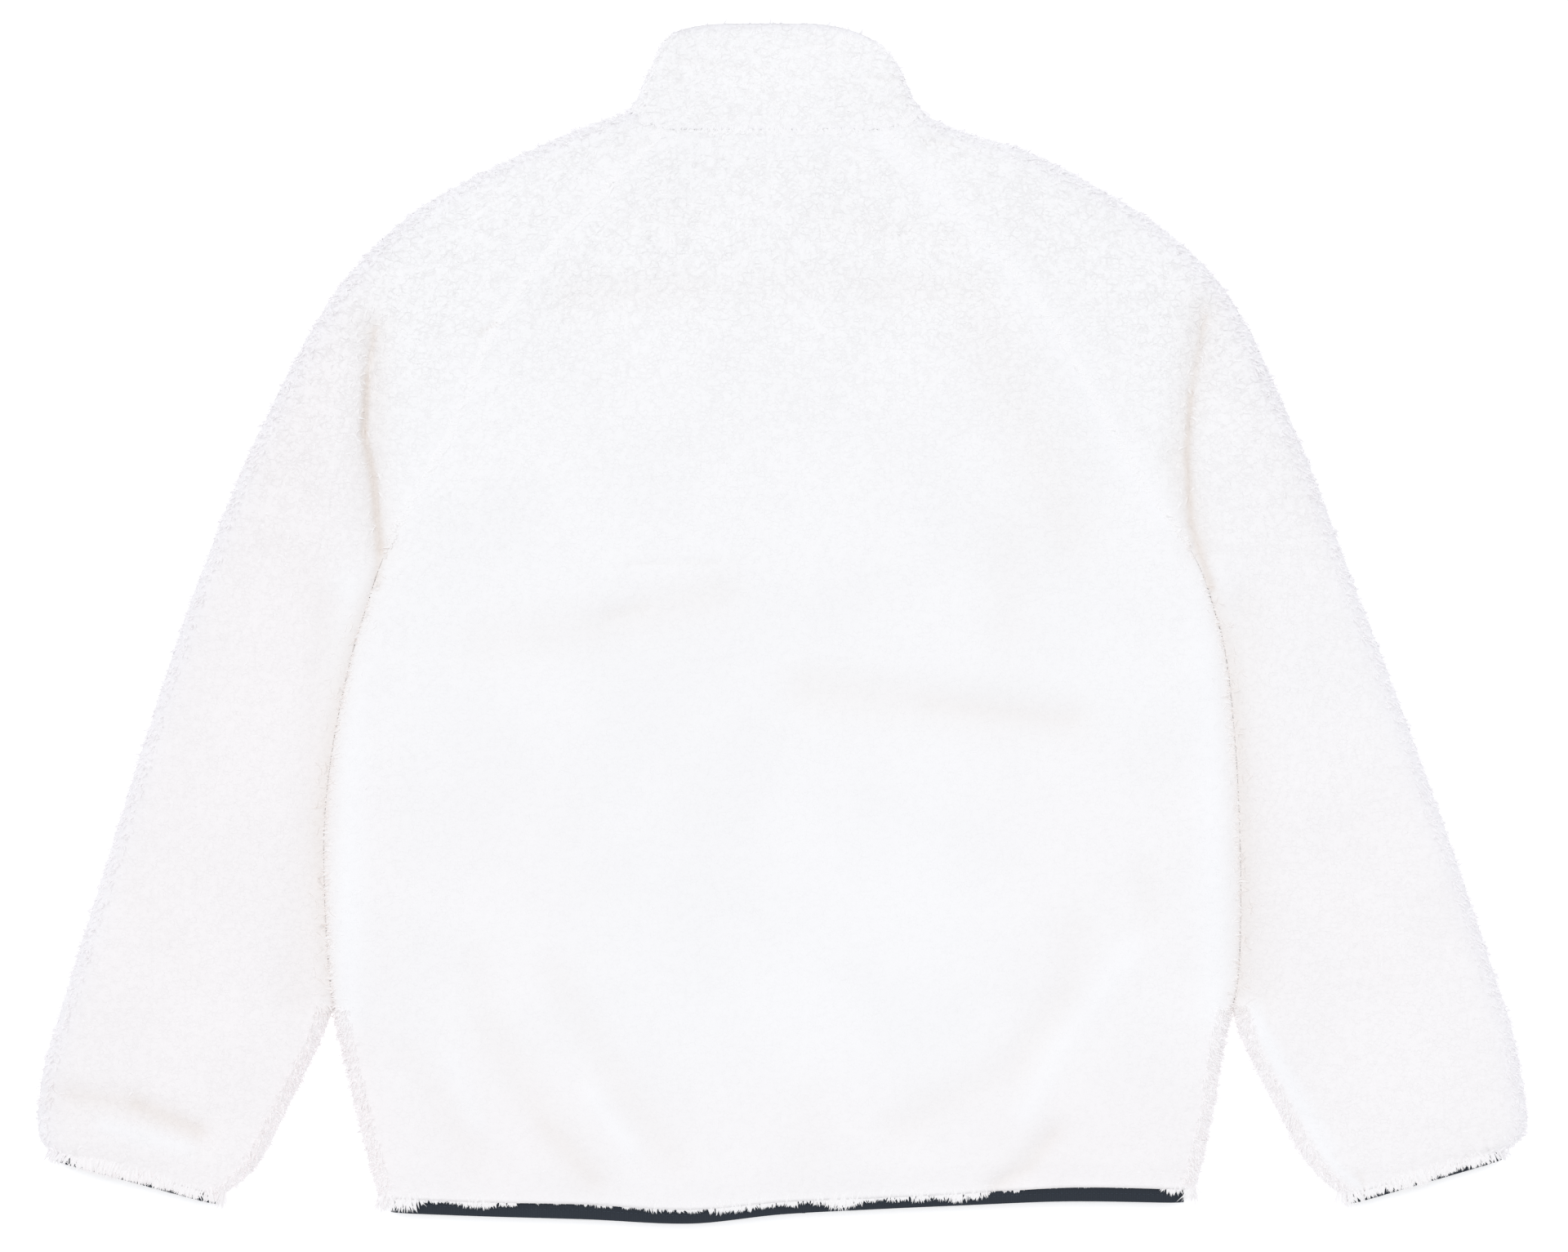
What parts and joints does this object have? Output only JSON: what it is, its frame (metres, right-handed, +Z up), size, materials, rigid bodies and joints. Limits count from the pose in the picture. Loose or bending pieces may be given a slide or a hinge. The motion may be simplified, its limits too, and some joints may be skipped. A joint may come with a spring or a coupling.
{
  "type": "fleece jacket",
  "caption": "High-pile sherpa fleece jacket with raglan sleeves, stand collar, zip front and bound hem and cuffs, laid flat on its front with the back up.",
  "frame": {"origin": "centre of the outline's box on the surface that the jacket lies on", "axes": "+X to the right as the back is seen, +Y from hem to collar, +Z up from the surface"},
  "size_m": [0.9691, 0.7813, 0.0186],
  "materials": {
    "fleece": "white curly high-pile fleece",
    "binding": "dark navy elastic knit, matt",
    "zip_tape": "woven navy tape with a nylon coil",
    "zip_metal": "dark painted zinc"
  },
  "bodies": {
    "jacket": {"back": "fleece", "front_left": "fleece", "front_right": "fleece", "sleeve_left": "fleece", "sleeve_right": "fleece", "collar": "fleece", "hem_binding": "binding", "cuff_binding_left": "binding", "cuff_binding_right": "binding", "zip_tape_left": "zip_tape", "zip_tape_right": "zip_tape", "zip_slider": "zip_metal", "zip_stop": "zip_metal"},
    "pull_tab": {"zip_pull_tab": "zip_metal"}
  },
  "joints": [
    {"name": "pull_tab_hinge", "type": "hinge", "parent": "jacket", "child": "pull_tab", "pos_m": [0, 0.321, 0.00175], "axis": [1, 0, 0], "range_deg": [0, 170]}
  ]
}
